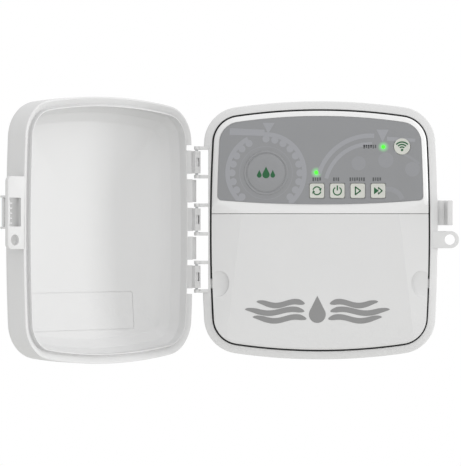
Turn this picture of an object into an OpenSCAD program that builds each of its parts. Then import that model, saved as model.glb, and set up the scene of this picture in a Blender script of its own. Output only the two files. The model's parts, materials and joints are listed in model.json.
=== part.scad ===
// Outdoor irrigation controller: a wall box with a hinged door, a control panel and a wiring bay.
// Every module is drawn facing up: X to the right, Y up the wall and Z out of the wall.
// The module upright() then stands it against the wall, facing -Y with +Z up.

/* [Enclosure] */
// Overall width of the front ring
case_w = 183.4; // [165:0.1:225]
// Overall height of the front ring
case_h = 200; // [180:1:240]
// Depth from the wall to the front of the ring
base_depth = 65; // [60:1:80]
// Radius of the bulge along the top and bottom edges
top_bulge_r = 457; // [300:1:900]
// Radius of the bulge along the side edges
side_bulge_r = 1300; // [600:10:3000]
// Radius of the ring's corners
corner_r = 28; // [22:0.5:36]
// Width of the front ring, seen from the front
ring_w = 6.3; // [5.9:0.1:8]
// Depth of the front ring
ring_depth = 9; // [8:0.5:12]
// How far the box behind the ring is set in from the ring's edge
tub_inset = 5.2; // [5:0.1:5.6]
// Thickness of the box's side walls
case_wall = 3; // [2.5:0.1:3.6]
// Thickness of the box's back wall
back_wall = 3; // [2.5:0.1:5]

/* [Control panel] */
// Open groove between the ring and the panel
facia_gap = 1.4; // [1.2:0.1:2]
// How far the panel stands in front of the ring
facia_proud = 6; // [4:0.1:9]
// Thickness of the panel's plates and walls
panel_wall = 2.2; // [1.8:0.1:2.6]
// Height of the joint between the panel and the lower cover
split_y = 12.8; // [8:0.1:16]
// Half of the gap at that joint
split_half_gap = 0.2; // [0.15:0.05:0.4]
// Thickness of the label sheet
overlay_t = 0.7; // [0.4:0.1:1]
// Width of the white margin around the label
overlay_margin = 4.3; // [3:0.1:6]
// Lowest point of the label's curved lower edge
overlay_bottom_y = 20.1; // [18:0.1:24]
// Radius of the label's curved lower edge
overlay_bottom_r = 940; // [500:10:2000]
// Side of a square button
button_w = 11.2; // [9:0.1:13]
// Distance between neighbouring buttons
button_pitch = 15.75; // [15.5:0.05:18]
// Place of the first button, across
button_x = -2.6; // [-6:0.1:2]
// Height of the button row
button_y = 30.5; // [29:0.1:34]
// How far a button travels
button_travel = 0.8; // [0.5:0.1:1]
// How far a button stands in front of the label
button_proud = 0.5; // [0.3:0.1:1]
// Diameter of the round wireless button
wifi_d = 12.6; // [10:0.1:14]
// Diameter of a light pipe
lens_d = 3; // [2.4:0.1:4]
// Diameter of the round badge
badge_d = 31.6; // [26:0.1:36]

/* [Lower cover] */
// Half width of the raised centre panel at its top
centre_half_top = 60.8; // [56:0.1:64]
// Half width of the raised centre panel low down
centre_half_low = 70; // [66:0.1:73]
// How far the side facets fall away at the edge
facet_drop = 4; // [2:0.1:5]
// Height of the middle of the side grips
grip_y = -41.2; // [-48:0.1:-36]
// Length of the finger recess at each grip
grip_len = 21; // [16:0.5:24]

/* [Door] */
// Depth of the closed door
door_depth = 24; // [22:0.5:32]
// Thickness of the door's walls
door_wall = 2.4; // [2:0.1:3]
// How far the door is shown from closed, in degrees
door_open = 131.6; // [0:0.1:180]
// Gap between the closed door and the ring
parting_gap = 0.3; // [0.2:0.05:0.5]
// Distance from the ring's edge out to the hinge axis
hinge_out = 3.7; // [3.5:0.1:4.5]
// Height of the highest hinge arm
hinge_top_y = 63.7; // [58:0.1:66]
// Distance between neighbouring hinge arms
hinge_pitch = 22.14; // [20:0.02:23]
// Thickness of a hinge arm
arm_t = 2.7; // [2.2:0.1:3.2]
// Radius of a hinge knuckle
knuckle_r = 2.9; // [2.7:0.1:3.1]
// Height of a hinge knuckle
knuckle_h = 17.2; // [15:0.1:17.2]
// Radius of a hinge pin
pin_r = 1.1; // [0.9:0.05:1.2]

/* [Latch and padlock] */
// How far the lugs stand out from the ring's edge
lug_out = 15.8; // [15.6:0.1:17]
// Highest point of the door's lug
lug_top_y = 39.2; // [34:0.1:44]
// Lowest point of both lugs
lug_low_y = -13.9; // [-16:0.1:-13.4]
// Width of the catch window
window_w = 11.7; // [11.5:0.1:12]
// Height of the catch window
window_h = 21; // [18:0.1:23]
// Height of the middle of the catch window
window_y = 13.1; // [12:0.1:15]
// Diameter of the padlock hole
padlock_d = 8.1; // [6:0.1:9]

/* [Wiring bay] */
// Number of valve terminals
terminal_count = 12; // [6:1:12]
// Distance between neighbouring terminals
terminal_pitch = 8; // [7:0.1:8.2]
// Radius of the conduit entry
conduit_r = 14; // [10:0.1:15]
// Radius of the plugged spare entry
spare_r = 11; // [9:0.1:12]
// Radius of the mains entry
mains_r = 7; // [6:0.1:8]
// Radius of the hole through the mains grommet
cable_r = 3.7; // [3:0.1:4.5]
// Distance between the two lower wall screws
wall_screw_span = 132; // [126:1:134]
// Radius of a lower wall screw hole
wall_screw_r = 2.3; // [2:0.1:2.8]

/* [Hidden] */
$fn = 48;
half_w = case_w / 2;
half_h = case_h / 2;
eps = 0.01;
screw_fit = 0.05;
play = 0.3;

// Depth levels, counted from the wall
ledge_z = base_depth - ring_depth;
panel_z = base_depth + facia_proud;
plate_z = panel_z - panel_wall;
board_z = ledge_z + 0.5;
board_t = 1.6;
board_top = board_z + board_t;
entry_z = 30;

// Insets from the ring's outline
facia_inset = ring_w + facia_gap;
overlay_inset = facia_inset + overlay_margin;
tub_inner = tub_inset + case_wall;

// Control panel features
button_count = 4;
lip_t = 1.2;
overlay_floor = panel_z - overlay_t - 0.1;
button_back = plate_z - play - lip_t;
wifi_at = [half_w - 28.6, 64.7];
badge_at = [-41.9, 44.3];
auto_lens_at = [button_x - 0.4, 44.6];
status_lens_at = [wifi_at[0] - 14.4, wifi_at[1] - 0.3];

// Boards and fasteners
board_half_w = half_w - 21.7;
board_low_y = split_y - 34.8;
top_fall = board_half_w * board_half_w / (2 * top_bulge_r);
board_high_y = half_h - 14.639 - top_fall;
upper_boss = [40, board_high_y - 6];
lower_boss = [board_half_w - 6, split_y + 9.2];
side_boss = [half_w - facia_inset - 6.5, 45];
post_at = [half_w - facia_inset - 8, split_y - 8.8];
screw_r = 1.45;
screw_hole_r = screw_r + screw_fit;
boss_r = 3.2;
post_r = 4;
tray_half_w = board_half_w + 3.5;
tray_low_y = split_y + 3;
tray_high_y = board_high_y + 2;
tray_depth = 16;
tray_wall = 2;
tray_z = board_z - play - tray_depth;

// Valve terminals
terminal_h = 9;
terminal_y = board_low_y + 3;
terminal_deep = 14;
terminal_x = -terminal_count * terminal_pitch / 2 + 6;

// Transformer
trafo_at = [-50, -58];
core_w = 50;
core_h = 42;
core_t = 18;
leg_w = 16;
core_window = [9, 26];
core_z = 12;
coil_gap = 0.2;
coil_over = 8;
core_screw = [21, 17];

// Mains terminals
mains_block_x = -14;
mains_pitch = 10;
mains_low_y = -70;
mains_screw_y = -64;

// Wall entries
entry_low_y = -half_h + 5;
entry_high_y = -half_h + 14;
conduit_x = 45;
spare_x = 4;
mains_x = -50;
collar_t = 3.5;
wall_screw_y = -30;

// Door: a rib runs in the open groove between the ring and the panel
rib_t = 0.7;
rib_h = 1.5;
rib_inset = ring_w + (facia_gap - rib_t) / 2;
door_edge_r = 9;
door_dome = 1.6;
door_dome_run = 40;

// Hinge
hinge_x = -half_w - hinge_out;
hinge_z = base_depth;
arm_r = 2.1;
arm_count = 6;
arm_clear = 0.75;
hinge_relief = 5;
hinge_low_y = hinge_top_y - (arm_count - 1) * hinge_pitch;

// Latch
lug_x = half_w + lug_out;
lug_t = 3;
lug_corner_r = 4;
door_z = base_depth + parting_gap;
window_x = lug_x - 1.5 - window_w;
padlock_at = [half_w + 8.8, -7.2];
catch_h = window_h - 2.6;
pivot_x = half_w + 13.3;
pivot_z = door_z + 6.9;
latch_pin_r = 0.8;
barrel_r = 1.5;
cheek_t = 1.6;
cheek_low_y = window_y - window_h / 2 - cheek_t;
cheek_high_y = window_y + window_h / 2;
padlock_top_y = -0.5;
base_lug_x = lug_x + 0.2;

// ---- the curved outline shared by the ring, the panel, the cover and the door ----

// Centre of the rounded corner, where circles of the two bulges, less the corner radius, cross
function corner_centre() =
  let (a = [0, half_h - top_bulge_r])
  let (b = [half_w - side_bulge_r, 0])
  let (ra = top_bulge_r - corner_r)
  let (rb = side_bulge_r - corner_r)
  let (d = norm(b - a))
  let (along = (ra * ra - rb * rb + d * d) / (2 * d))
  let (up = sqrt(ra * ra - along * along))
  let (u = (b - a) / d)
  a + along * u + up * [u[1], -u[0]];

// An arc's points, without its last one
function arc(centre, r, from, to, steps) =
  [for (i = [0 : steps - 1]) centre + r * [cos(from + (to - from) * i / steps),
                                           sin(from + (to - from) * i / steps)]];

// The outline's upper right quarter, from the right edge round to the top, set in by inset
function quarter(inset) =
  let (top = [0, half_h - top_bulge_r])
  let (side = [half_w - side_bulge_r, 0])
  let (c = corner_centre())
  let (a1 = atan2(c[1] - side[1], c[0] - side[0]))
  let (a2 = atan2(c[1] - top[1], c[0] - top[0]))
  concat(
    arc(side, side_bulge_r - inset, 0, a1, 3),
    arc(c, corner_r - inset, a1, a2, 7),
    arc(top, top_bulge_r - inset, a2, 90, 4),
    [[0, half_h - inset]]
  );

function outline(inset) =
  let (q = quarter(inset))
  let (last = len(q) - 1)
  concat(
    q,
    [for (i = [last - 1 : -1 : 0]) [-q[i][0], q[i][1]]],
    [for (i = [1 : last]) [-q[i][0], -q[i][1]]],
    [for (i = [last - 1 : -1 : 1]) [q[i][0], -q[i][1]]]
  );

module upright() {
  rotate([90, 0, 0]) children();
}

// A plate of the outline's shape between two depths
module slab(z0, z1, inset) {
  translate([0, 0, z0]) linear_extrude(z1 - z0) polygon(outline(inset));
}

// A box given by its lowest and highest corners
module block(low, high) {
  translate(low) cube(high - low);
}

module above(y) {
  intersection() {
    children();
    block([-case_w, y, -case_h], [case_w, case_h, case_h]);
  }
}

module below(y) {
  intersection() {
    children();
    block([-case_w, -case_h, -case_h], [case_w, y, case_h]);
  }
}

module both_sides() {
  children();
  mirror([1, 0, 0]) children();
}

// A round post along Z between two depths
module post(at, r, z0, z1) {
  translate([at[0], at[1], z0]) cylinder(r = r, h = z1 - z0);
}

// A round bar along Y between two heights
module bar_y(x, z, r, y0, y1) {
  translate([x, y0, z]) rotate([-90, 0, 0]) cylinder(r = r, h = y1 - y0);
}

// A pan-head screw pointing along +Z with its head's underside at z
module screw(at, z, length, head_r, head_t) {
  difference() {
    union() {
      post(at, screw_r, z - eps, z + length);
      post(at, head_r, z - head_t, z);
    }
    block([at[0] - head_r, at[1] - 0.5, z - head_t - 1], [at[0] + head_r, at[1] + 0.5, z - head_t + 0.8]);
  }
}

// The same screw pointing into the wall, with its head's underside at z
module screw_in(at, z, length, head_r, head_t) {
  translate([0, 0, 2 * z]) mirror([0, 0, 1]) screw(at, z, length, head_r, head_t);
}

// ---- enclosure ----

module hinge_arm(y) {
  difference() {
    union() {
      bar_y(hinge_x, hinge_z, arm_r, y - arm_t / 2, y + arm_t / 2);
      block([hinge_x, y - arm_t / 2, hinge_z - 4.5],
            [-half_w + hinge_relief + 0.6, y + arm_t / 2, hinge_z]);
    }
    bar_y(hinge_x, hinge_z, pin_r + screw_fit, y - arm_t, y + arm_t);
  }
}

// The catch: a post with an outward lip that the latch hooks under
module catch_hook() {
  lip_low = pivot_z - 2;
  y0 = window_y - catch_h / 2;
  y1 = window_y + catch_h / 2;
  block([half_w - 2, y0, base_depth - 8], [window_x + 5, y1, base_depth - 4]);
  block([window_x + 1.7, y0, base_depth - 8], [window_x + 5, y1, lip_low + 2]);
  block([window_x + 1.7, y0, lip_low], [pivot_x - 2.6, y1, lip_low + 1]);
  bar_y(pivot_x - 3, lip_low + 1, 1, y0, y1);
  block([window_x + 1.7, y0, lip_low + 1], [pivot_x - 3, y1, lip_low + 2]);
}

module padlock_lug(z0, z1) {
  lug_mid = (lug_low_y + padlock_top_y) / 2;
  lug_r = (padlock_top_y - lug_low_y) / 2;
  block([half_w - ring_w + 1, lug_low_y, z0], [base_lug_x - lug_r, padlock_top_y, z1]);
  post([base_lug_x - lug_r, lug_mid], lug_r, z0, z1);
}

module entry_collar(x, r) {
  bar_y(x, entry_z, r + collar_t, entry_low_y, entry_high_y);
}

module keyhole() {
  post([0, 68], 4.6, -1, back_wall + 1);
  post([0, 76], 2.3, -1, back_wall + 1);
  block([-2.3, 68, -1], [2.3, 76, back_wall + 1]);
}

module enclosure_base() upright() color([0.86, 0.87, 0.87]) difference() {
  union() {
    difference() {
      union() {
        slab(0, ledge_z + 1, tub_inset);
        slab(ledge_z, base_depth, 0);
      }
      slab(back_wall, ledge_z, tub_inner);
      slab(ledge_z, base_depth + 1, ring_w);
      block([-half_w - 1, hinge_low_y, ledge_z - 1],
            [-half_w + hinge_relief, hinge_top_y, base_depth + 1]);
    }
    for (i = [0 : arm_count - 1]) hinge_arm(hinge_top_y - i * hinge_pitch);
    catch_hook();
    padlock_lug(base_depth - lug_t, base_depth);
    both_sides() post(post_at, post_r, back_wall - 1, ledge_z);
    for (sx = [-1, 1]) for (sy = [-1, 1])
      post(trafo_at + [sx * core_screw[0], sy * core_screw[1]], post_r, back_wall - 1, core_z);
    entry_collar(conduit_x, conduit_r);
    entry_collar(spare_x, spare_r);
    entry_collar(mains_x, mains_r);
  }
  post(padlock_at, padlock_d / 2, base_depth - 2 * lug_t, base_depth + 1);
  both_sides() post(post_at, screw_hole_r, ledge_z - 14, ledge_z + 1);
  for (sx = [-1, 1]) for (sy = [-1, 1])
    post(trafo_at + [sx * core_screw[0], sy * core_screw[1]], screw_hole_r, back_wall + 1, core_z + 1);
  bar_y(conduit_x, entry_z, conduit_r, entry_low_y - 1, entry_high_y + 1);
  bar_y(spare_x, entry_z, spare_r, entry_low_y - 1, entry_high_y + 1);
  bar_y(mains_x, entry_z, mains_r, entry_low_y - 1, entry_high_y + 1);
  both_sides() post([wall_screw_span / 2, wall_screw_y], wall_screw_r, -1, back_wall + 1);
  keyhole();
}

// ---- control panel ----

function button_at(i) = [button_x + i * button_pitch, button_y];

// What passes through the panel and the label, grown by extra on every side
module panel_holes(extra, z0, z1) {
  for (i = [0 : button_count - 1]) {
    p = button_at(i);
    r = button_w / 2 + extra;
    block([p[0] - r, p[1] - r, z0], [p[0] + r, p[1] + r, z1]);
  }
  post(wifi_at, wifi_d / 2 + extra, z0, z1);
  post(auto_lens_at, lens_d / 2 + screw_fit, z0, z1);
  post(status_lens_at, lens_d / 2 + screw_fit, z0, z1);
}

module overlay_shape(z0, z1, extra) {
  intersection() {
    slab(z0, z1, overlay_inset - extra);
    translate([0, overlay_bottom_y - extra + overlay_bottom_r, z0 - 1])
      cylinder(r = overlay_bottom_r, h = z1 - z0 + 2, $fn = 256);
  }
}

module facia_bezel() upright() color([0.93, 0.93, 0.93]) difference() {
  union() {
    above(split_y + split_half_gap) difference() {
      slab(ledge_z + play, panel_z, facia_inset);
      slab(ledge_z - 1, plate_z, facia_inset + panel_wall);
    }
    intersection() {
      slab(ledge_z + play, panel_z, facia_inset + 1);
      block([-half_w, split_y + split_half_gap, board_top + 0.4],
            [half_w, split_y + split_half_gap + panel_wall, panel_z - 1]);
    }
    both_sides() {
      post(upper_boss, boss_r, board_top, panel_z - 1);
      post(lower_boss, boss_r, board_top, panel_z - 1);
      post(side_boss, boss_r, board_z, panel_z - 1);
      block([post_at[0] - 4.5, post_at[1] - 4.5, ledge_z + play],
            [post_at[0] + 4.5, split_y + split_half_gap + panel_wall, ledge_z + play + 2.4]);
      block([post_at[0] - 4.5, split_y + split_half_gap, ledge_z + play],
            [post_at[0] + 4.5, split_y + split_half_gap + panel_wall, panel_z - 1]);
      block([24, half_h - tub_inner - 3.8, ledge_z - 6], [36, half_h - tub_inner - 2, plate_z]);
    }
  }
  overlay_shape(overlay_floor, panel_z + 1, play);
  panel_holes(play, plate_z - 1, panel_z + 1);
  both_sides() {
    post(upper_boss, screw_hole_r, board_top - 1, board_top + 9);
    post(lower_boss, screw_hole_r, board_top - 1, board_top + 9);
    post(side_boss, screw_hole_r, board_z - 1, board_z + 9);
    post(post_at, screw_hole_r + 0.4, ledge_z - 1, ledge_z + 5);
  }
}

module facia_overlay() upright() color([0.56, 0.57, 0.58]) difference() {
  overlay_shape(overlay_floor, overlay_floor + overlay_t, 0);
  panel_holes(play, overlay_floor - 1, panel_z + 1);
}

module badge_disc() upright() color([0.62, 0.63, 0.64])
  post(badge_at, badge_d / 2, overlay_floor + overlay_t, overlay_floor + overlay_t + 0.6);

module square_button(i) upright() color([0.82, 0.82, 0.79]) {
  p = button_at(i);
  r = button_w / 2;
  lip = r + 1.1;
  block([p[0] - r, p[1] - r, button_back], [p[0] + r, p[1] + r, panel_z + button_proud]);
  block([p[0] - lip, p[1] - lip, button_back], [p[0] + lip, p[1] + lip, button_back + lip_t]);
}

module auto_button() square_button(0);

module off_button() square_button(1);

module manual_button() square_button(2);

module next_button() square_button(3);

module wifi_button() upright() color([0.82, 0.82, 0.79]) {
  post(wifi_at, wifi_d / 2, button_back, panel_z + button_proud);
  post(wifi_at, wifi_d / 2 + 1.1, button_back, button_back + lip_t);
}

module light_pipe(at) {
  post(at, lens_d / 2, board_top + 1.6, panel_z + 0.3);
  post(at, lens_d / 2 + 0.8, plate_z - 1, plate_z);
}

module auto_lens() upright() color([0.4, 1, 0.45]) light_pipe(auto_lens_at);

module status_lens() upright() color([0.4, 1, 0.45]) light_pipe(status_lens_at);

// ---- electronics ----

module control_board() upright() color([0.1, 0.4, 0.22]) difference() {
  block([-board_half_w, board_low_y, board_z], [board_half_w, board_high_y, board_top]);
  both_sides() {
    post(upper_boss, screw_hole_r, board_z - 1, board_top + 1);
    post(lower_boss, screw_hole_r, board_z - 1, board_top + 1);
  }
}

module tact_switch(at) {
  block([at[0] - 3, at[1] - 3, board_top], [at[0] + 3, at[1] + 3, board_top + 3.5]);
  post(at, 1.7, board_top + 3, button_back - button_travel - 0.4);
}

module tact_switches() upright() color([0.15, 0.15, 0.16]) {
  for (i = [0 : button_count - 1]) tact_switch(button_at(i));
  tact_switch(wifi_at);
}

module led_chip(at) {
  block([at[0] - 1.6, at[1] - 1.4, board_top], [at[0] + 1.6, at[1] + 1.4, board_top + 1.1]);
}

module led_chips() upright() color([0.95, 0.95, 0.85]) {
  led_chip(auto_lens_at);
  led_chip(status_lens_at);
}

module processor_chip() upright() color([0.12, 0.12, 0.13])
  block([-36, 40, board_top], [-22, 54, board_top + 1.6]);

module wifi_module() upright() color([0.78, 0.79, 0.8])
  block([14, 50, board_top], [32, 75, board_top + 3]);

module output_triacs() upright() color([0.12, 0.12, 0.13])
  for (i = [0 : 7])
    block([-42 + i * 11, 24, board_z - 2.4], [-35.5 + i * 11, 30, board_z]);

module filter_capacitors() upright() color([0.1, 0.12, 0.2]) {
  post([-52, 58], 5, board_z - 12, board_z);
  post([-38, 58], 5, board_z - 12, board_z);
}

module surge_arrestors() upright() color([0.75, 0.6, 0.25])
  for (i = [0 : terminal_count - 1])
    translate([terminal_x + (i + 0.5) * terminal_pitch, split_y - 12, board_top + 2.2])
      rotate([-90, 0, 0]) cylinder(r = 2.2, h = 5);

module terminal_block() upright() color([0.2, 0.55, 0.3]) difference() {
  block([terminal_x, terminal_y, board_top],
        [terminal_x + terminal_count * terminal_pitch, terminal_y + terminal_deep,
         board_top + terminal_h]);
  for (i = [0 : terminal_count - 1]) {
    x = terminal_x + (i + 0.5) * terminal_pitch;
    post([x, terminal_y + 8], 2.4, board_top + 4.5, board_top + terminal_h + 1);
    block([x - 1.8, terminal_y - 1, board_top + 1.4], [x + 1.8, terminal_y + 10, board_top + 5]);
  }
}

module terminal_screws() upright() color([0.7, 0.7, 0.68])
  for (i = [0 : terminal_count - 1]) {
    x = terminal_x + (i + 0.5) * terminal_pitch;
    difference() {
      post([x, terminal_y + 8], 2.3, board_top + 5.4, board_top + terminal_h - 0.6);
      block([x - 3, terminal_y + 7.6, board_top + terminal_h - 1.4],
            [x + 3, terminal_y + 8.4, board_top + terminal_h]);
    }
  }

module board_screws() upright() color([0.72, 0.72, 0.7]) both_sides() {
  screw(upper_boss, board_z, 9, 2.9, 1.8);
  screw(lower_boss, board_z, 9, 2.9, 1.8);
}

module electronics_back_cover() upright() color([0.85, 0.86, 0.86]) difference() {
  union() {
    block([-tray_half_w, tray_low_y, tray_z], [tray_half_w, tray_high_y, board_z - play]);
    both_sides() block([tray_half_w - 1, side_boss[1] - 4, board_z - 2.4],
                       [side_boss[0] + 3, side_boss[1] + 4, board_z - play]);
  }
  block([-tray_half_w + tray_wall, tray_low_y + tray_wall, tray_z + tray_wall],
        [tray_half_w - tray_wall, tray_high_y - tray_wall, board_z + 1]);
  both_sides() post(side_boss, screw_hole_r, board_z - 4, board_z + 1);
}

module back_cover_screws() upright() color([0.72, 0.72, 0.7]) both_sides()
  screw(side_boss, board_z - 2.4, 9, 2.9, 1.8);

module facia_screws() upright() color([0.72, 0.72, 0.7]) both_sides()
  screw_in(post_at, ledge_z + play + 2.4, 13, 3.4, 2.2);

// ---- power supply ----

module transformer_core() upright() color([0.3, 0.31, 0.33])
  translate([trafo_at[0], trafo_at[1], core_z]) difference() {
    block([-core_w / 2, -core_h / 2, 0], [core_w / 2, core_h / 2, core_t]);
    both_sides() block([leg_w / 2, -core_window[1] / 2, -1],
                       [leg_w / 2 + core_window[0], core_window[1] / 2, core_t + 1]);
    for (sx = [-1, 1]) for (sy = [-1, 1])
      post([sx * core_screw[0], sy * core_screw[1]], screw_hole_r, -1, core_t + 1);
  }

module transformer_coil() upright() color([0.75, 0.62, 0.3])
  translate([trafo_at[0], trafo_at[1], core_z]) difference() {
    block([-leg_w / 2 - core_window[0] + coil_gap, -core_window[1] / 2 + coil_gap, -coil_over],
          [leg_w / 2 + core_window[0] - coil_gap, core_window[1] / 2 - coil_gap, core_t + coil_over]);
    block([-leg_w / 2 - coil_gap, -core_h, -coil_gap], [leg_w / 2 + coil_gap, core_h, core_t + coil_gap]);
  }

module transformer_screws() upright() color([0.72, 0.72, 0.7])
  for (sx = [-1, 1]) for (sy = [-1, 1])
    screw_in(trafo_at + [sx * core_screw[0], sy * core_screw[1]], core_z + core_t, core_t + 6, 2.9, 1.8);

module mains_terminal_block() upright() color([0.9, 0.9, 0.88]) difference() {
  block([mains_block_x, mains_low_y, back_wall],
        [mains_block_x + 3 * mains_pitch, mains_low_y + 20, back_wall + 14]);
  for (i = [0 : 2]) {
    x = mains_block_x + (i + 0.5) * mains_pitch;
    post([x, mains_screw_y], 2.6, back_wall + 6, back_wall + 15);
    block([x - 1.9, mains_low_y - 1, back_wall + 2], [x + 1.9, mains_low_y + 10, back_wall + 7]);
  }
}

module mains_terminal_screws() upright() color([0.7, 0.7, 0.68])
  for (i = [0 : 2]) {
    x = mains_block_x + (i + 0.5) * mains_pitch;
    difference() {
      post([x, mains_screw_y], 2.5, back_wall + 7.4, back_wall + 13);
      block([x - 3, mains_screw_y - 0.4, back_wall + 12.2], [x + 3, mains_screw_y + 0.4, back_wall + 14]);
    }
  }

module mains_grommet() upright() color([0.15, 0.15, 0.16]) difference() {
  union() {
    bar_y(mains_x, entry_z, mains_r, entry_low_y, entry_high_y + 1.5);
    bar_y(mains_x, entry_z, mains_r + 2.4, entry_low_y - 1.6, entry_low_y);
    bar_y(mains_x, entry_z, mains_r + 1.4, entry_high_y, entry_high_y + 1.5);
  }
  bar_y(mains_x, entry_z, cable_r, entry_low_y - 2, entry_high_y + 2);
}

module spare_entry_plug() upright() color([0.84, 0.85, 0.85]) difference() {
  union() {
    bar_y(spare_x, entry_z, spare_r - screw_fit, entry_low_y, entry_high_y + 1);
    bar_y(spare_x, entry_z, spare_r + 2, entry_low_y - 1.6, entry_low_y);
  }
  bar_y(spare_x, entry_z, spare_r - 1.8, entry_low_y + 1, entry_high_y + 2);
}

// ---- lower cover ----

// Space outside the sloping side facet on the right, moved in by depth
module facet_cut(depth) {
  run = split_y + 64;
  flare = atan((centre_half_low - centre_half_top) / run);
  fall = atan(facet_drop / (half_w - facia_inset - (centre_half_top + centre_half_low) / 2));
  translate([centre_half_top, split_y, panel_z - depth])
    rotate([0, 0, flare]) rotate([0, fall, 0])
      block([0, -case_h, 0], [case_w, case_h, 4 * facia_proud]);
}

// The cover's outer form, or the space inside it when depth is its wall
module cover_form(depth) {
  below(split_y - split_half_gap) difference() {
    slab(ledge_z + 2 * play - depth, panel_z - depth, facia_inset + depth);
    both_sides() facet_cut(depth);
  }
}

module lower_cover() upright() color([0.9, 0.91, 0.91]) {
  difference() {
    union() {
      difference() {
        cover_form(0);
        cover_form(panel_wall);
      }
      intersection() {
        cover_form(0);
        both_sides() block([half_w - 22, grip_y - grip_len / 2 - 3, ledge_z + 3],
                           [half_w, grip_y + grip_len / 2 + 3, panel_z]);
      }
      intersection() {
        below(split_y - 1) slab(base_depth - 4.5, base_depth - 1.7, ring_w + play);
        both_sides() block([half_w - 14, grip_y - 3.6, ledge_z], [half_w, grip_y + 3.6, panel_z]);
      }
    }
    both_sides() bar_y(half_w - facia_inset + 1, panel_z + 3.5, 8.5,
                       grip_y - grip_len / 2, grip_y + grip_len / 2);
  }
}

// ---- door ----

// Turns what is drawn closed about the hinge axis to the shown angle
module on_door() {
  translate([hinge_x, 0, hinge_z]) rotate([0, -door_open, 0]) translate([-hinge_x, 0, -hinge_z])
    children();
}

// The rounded tray: outlines that draw in as they rise, joined as one smooth body
module tray_form(inset, draft, rise, low, high) {
  steps = 8;
  hull() {
    slab(low, low + eps, inset);
    for (i = [0 : steps]) {
      a = 90 * i / steps;
      z = high - door_dome - rise * (1 - sin(a));
      slab(z, z + eps, inset + draft + rise * (1 - cos(a)));
    }
    slab(high - eps, high, inset + draft + rise + door_dome_run);
  }
}

module hinge_knuckle(y) {
  y0 = y - knuckle_h / 2;
  y1 = y + knuckle_h / 2;
  difference() {
    union() {
      bar_y(hinge_x, hinge_z, knuckle_r, y0, y1);
      block([hinge_x, y0, door_z], [-half_w + 4, y1, hinge_z + knuckle_r]);
    }
    bar_y(hinge_x, hinge_z, pin_r, y0 - 1, y1 + 1);
  }
}

module hinge_filler(y) {
  y0 = y - knuckle_h / 2;
  block([hinge_x - 1, y0, door_z], [-half_w + 4, y0 + knuckle_h, hinge_z + knuckle_r - 0.6]);
}

module door_lug() {
  x0 = half_w - ring_w + 1;
  z0 = door_z;
  z1 = door_z + lug_t;
  difference() {
    union() {
      block([x0, lug_low_y, z0], [lug_x - lug_corner_r, lug_top_y, z1]);
      block([x0, lug_low_y + lug_corner_r, z0], [lug_x, lug_top_y - lug_corner_r, z1]);
      post([lug_x - lug_corner_r, lug_top_y - lug_corner_r], lug_corner_r, z0, z1);
      post([lug_x - lug_corner_r, lug_low_y + lug_corner_r], lug_corner_r, z0, z1);
    }
    block([window_x, window_y - window_h / 2, z0 - 1],
          [window_x + window_w, window_y + window_h / 2, z1 + 1]);
    post(padlock_at, padlock_d / 2, z0 - 1, z1 + 1);
  }
}

// Two cheeks beside the window carry the latch's pin
module latch_cheek(y0) {
  difference() {
    block([half_w - 3, y0, door_z + lug_t - 0.5], [pivot_x + 1.8, y0 + cheek_t, pivot_z + 2.4]);
    bar_y(pivot_x, pivot_z, latch_pin_r, y0 - 1, y0 + cheek_t + 1);
  }
}

module door_shell() upright() on_door() color([0.91, 0.92, 0.92]) {
  difference() {
    union() {
      tray_form(0, 1, door_edge_r, door_z, base_depth + door_depth);
      slab(door_z - rib_h, door_z + 3, rib_inset);
      for (i = [0 : 2]) hinge_knuckle(hinge_top_y - (2 * i + 0.5) * hinge_pitch);
      for (i = [0 : 1]) hinge_filler(hinge_top_y - (2 * i + 1.5) * hinge_pitch);
      door_lug();
      latch_cheek(cheek_low_y);
      latch_cheek(cheek_high_y);
    }
    tray_form(rib_inset + rib_t, 0, door_edge_r - 1, door_z - 3, base_depth + door_depth - door_wall);
    for (i = [0 : arm_count - 1]) {
      y = hinge_top_y - i * hinge_pitch;
      block([hinge_x - 6, y - arm_t / 2 - arm_clear, door_z - 4],
            [-half_w + 5.8, y + arm_t / 2 + arm_clear, door_z + 6]);
    }
  }
}

module door_hinge_pins() upright() on_door() color([0.75, 0.76, 0.77])
  for (i = [0 : 2]) {
    y = hinge_top_y - (2 * i + 0.5) * hinge_pitch;
    bar_y(hinge_x, hinge_z, pin_r, y - (hinge_pitch + arm_t) / 2, y + (hinge_pitch + arm_t) / 2);
  }

module door_latch() upright() on_door() color([0.84, 0.85, 0.85]) {
  y0 = window_y - window_h / 2 + play;
  y1 = window_y + window_h / 2 - play;
  low = door_z + lug_t + 0.1;
  difference() {
    union() {
      bar_y(pivot_x, pivot_z, barrel_r, y0, y1);
      block([pivot_x - 1.3, y0, low], [pivot_x + 0.3, y1, pivot_z + 2]);
      block([pivot_x - 2.8, y0 + 1, low], [pivot_x, y1 - 1, low + 1.2]);
    }
    bar_y(pivot_x, pivot_z, latch_pin_r + screw_fit, y0 - 1, y1 + 1);
  }
}

module latch_pin() upright() on_door() color([0.75, 0.76, 0.77])
  bar_y(pivot_x, pivot_z, latch_pin_r, cheek_low_y, cheek_high_y + cheek_t);

enclosure_base();
facia_bezel();
facia_overlay();
badge_disc();
auto_button();
off_button();
manual_button();
next_button();
wifi_button();
auto_lens();
status_lens();
control_board();
tact_switches();
led_chips();
processor_chip();
wifi_module();
output_triacs();
filter_capacitors();
surge_arrestors();
terminal_block();
terminal_screws();
board_screws();
electronics_back_cover();
back_cover_screws();
facia_screws();
transformer_core();
transformer_coil();
transformer_screws();
mains_terminal_block();
mains_terminal_screws();
mains_grommet();
spare_entry_plug();
lower_cover();
door_shell();
door_hinge_pins();
door_latch();
latch_pin();
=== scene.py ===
import json
import math

import bmesh
import bpy
from mathutils import Matrix, Vector


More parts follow.
